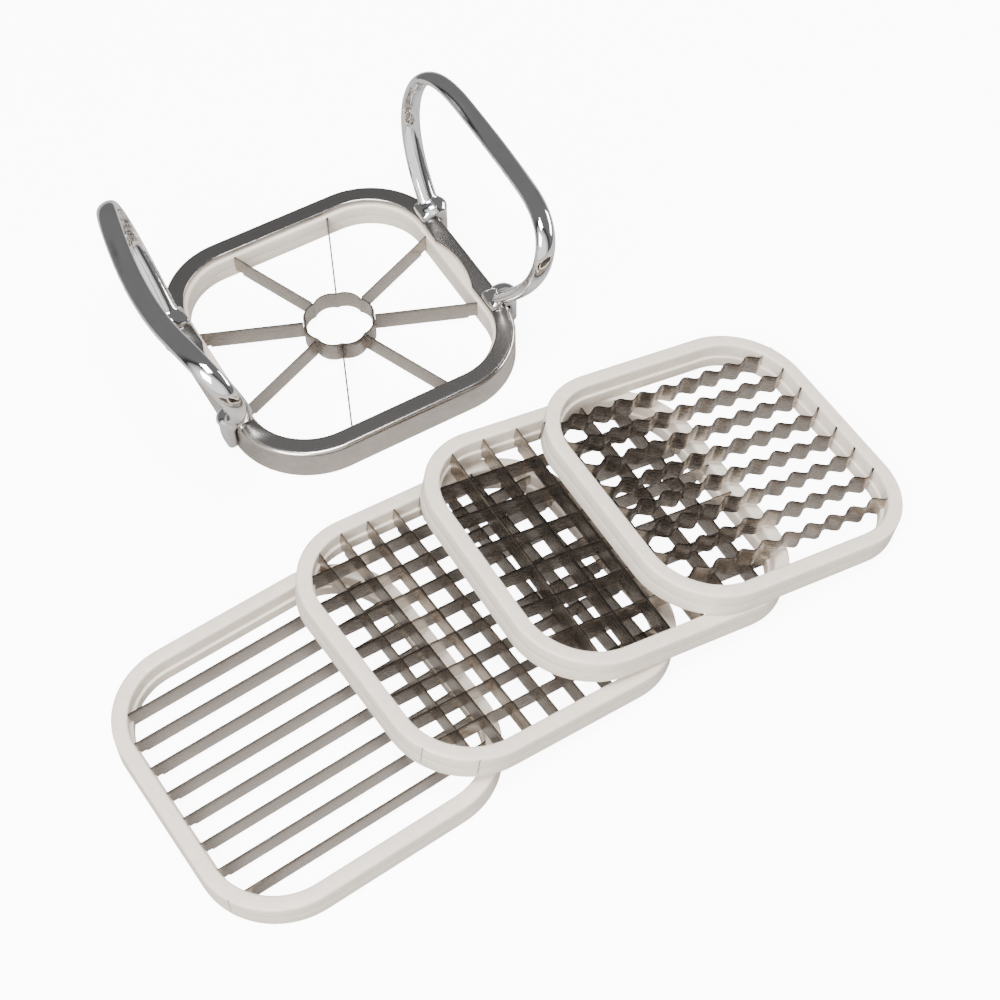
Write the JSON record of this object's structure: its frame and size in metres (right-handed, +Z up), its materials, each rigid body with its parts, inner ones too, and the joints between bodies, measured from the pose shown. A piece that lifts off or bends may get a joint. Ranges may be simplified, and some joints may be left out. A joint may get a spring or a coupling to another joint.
{
  "type": "vegetable dicer",
  "caption": "Hand-held vegetable dicer: a square handle frame with a wedge divider cassette and loose slicing, dicing and crinkle cassettes.",
  "frame": {"origin": "centre of the handle frame on the work surface", "axes": "+X from handle to handle towards the right-hand handle, +Y away from the row of loose cassettes, +Z up from the work surface"},
  "size_m": [0.258, 0.2415, 0.0646],
  "materials": {
    "cassette_plastic": "satin moulded white plastic",
    "blade_steel": "ground stainless steel with dark sharpened edges",
    "frame_alloy": "satin cast alloy with polished rounded edges",
    "handle_chrome": "mirror chrome plating",
    "rivet_steel": "plain steel"
  },
  "bodies": {
    "handle_frame": {"frame": "frame_alloy", "left_handle": "handle_chrome", "right_handle": "handle_chrome", "handle_rivets": "rivet_steel"},
    "divider_cassette": {"divider_upper_ring": "cassette_plastic", "divider_lower_ring": "cassette_plastic", "divider_core_ring": "blade_steel", "divider_spoke_1": "blade_steel", "divider_spoke_2": "blade_steel", "divider_spoke_3": "blade_steel", "divider_spoke_4": "blade_steel", "divider_spoke_5": "blade_steel", "divider_spoke_6": "blade_steel", "divider_spoke_7": "blade_steel", "divider_spoke_8": "blade_steel"},
    "slicer_cassette": {"slicer_upper_ring": "cassette_plastic", "slicer_lower_ring": "cassette_plastic", "slicer_blade_1": "blade_steel", "slicer_blade_2": "blade_steel", "slicer_blade_3": "blade_steel", "slicer_blade_4": "blade_steel", "slicer_blade_5": "blade_steel", "slicer_blade_6": "blade_steel", "slicer_blade_7": "blade_steel", "slicer_blade_8": "blade_steel"},
    "fine_dicer_cassette": {"fine_dicer_upper_ring": "cassette_plastic", "fine_dicer_lower_ring": "cassette_plastic", "fine_dicer_long_blades": "blade_steel", "fine_dicer_cross_blades": "blade_steel"},
    "coarse_dicer_cassette": {"coarse_dicer_upper_ring": "cassette_plastic", "coarse_dicer_lower_ring": "cassette_plastic", "coarse_dicer_long_blade_1": "blade_steel", "coarse_dicer_long_blade_2": "blade_steel", "coarse_dicer_long_blade_3": "blade_steel", "coarse_dicer_long_blade_4": "blade_steel", "coarse_dicer_long_blade_5": "blade_steel", "coarse_dicer_long_blade_6": "blade_steel", "coarse_dicer_cross_blade_1": "blade_steel", "coarse_dicer_cross_blade_2": "blade_steel", "coarse_dicer_cross_blade_3": "blade_steel", "coarse_dicer_cross_blade_4": "blade_steel", "coarse_dicer_cross_blade_5": "blade_steel", "coarse_dicer_cross_blade_6": "blade_steel"},
    "crinkle_cassette": {"crinkle_upper_ring": "cassette_plastic", "crinkle_lower_ring": "cassette_plastic", "crinkle_blade_1": "blade_steel", "crinkle_blade_2": "blade_steel", "crinkle_blade_3": "blade_steel", "crinkle_blade_4": "blade_steel", "crinkle_blade_5": "blade_steel", "crinkle_blade_6": "blade_steel", "crinkle_blade_7": "blade_steel", "crinkle_blade_8": "blade_steel"}
  },
  "joints": [
    {"name": "divider_release", "type": "slide", "parent": "handle_frame", "child": "divider_cassette", "axis": [0, 0, -1], "range_m": [0, 0.012]},
    {"name": "slicer_lift", "type": "slide", "parent": "handle_frame", "child": "slicer_cassette", "axis": [0, 0, 1], "range_m": [0, 0.03]},
    {"name": "fine_dicer_lift", "type": "slide", "parent": "slicer_cassette", "child": "fine_dicer_cassette", "axis": [0, 0, 1], "range_m": [0, 0.03]},
    {"name": "coarse_dicer_lift", "type": "slide", "parent": "fine_dicer_cassette", "child": "coarse_dicer_cassette", "axis": [0, 0, 1], "range_m": [0, 0.03]},
    {"name": "crinkle_lift", "type": "slide", "parent": "coarse_dicer_cassette", "child": "crinkle_cassette", "axis": [0, 0, 1], "range_m": [0, 0.03]}
  ]
}
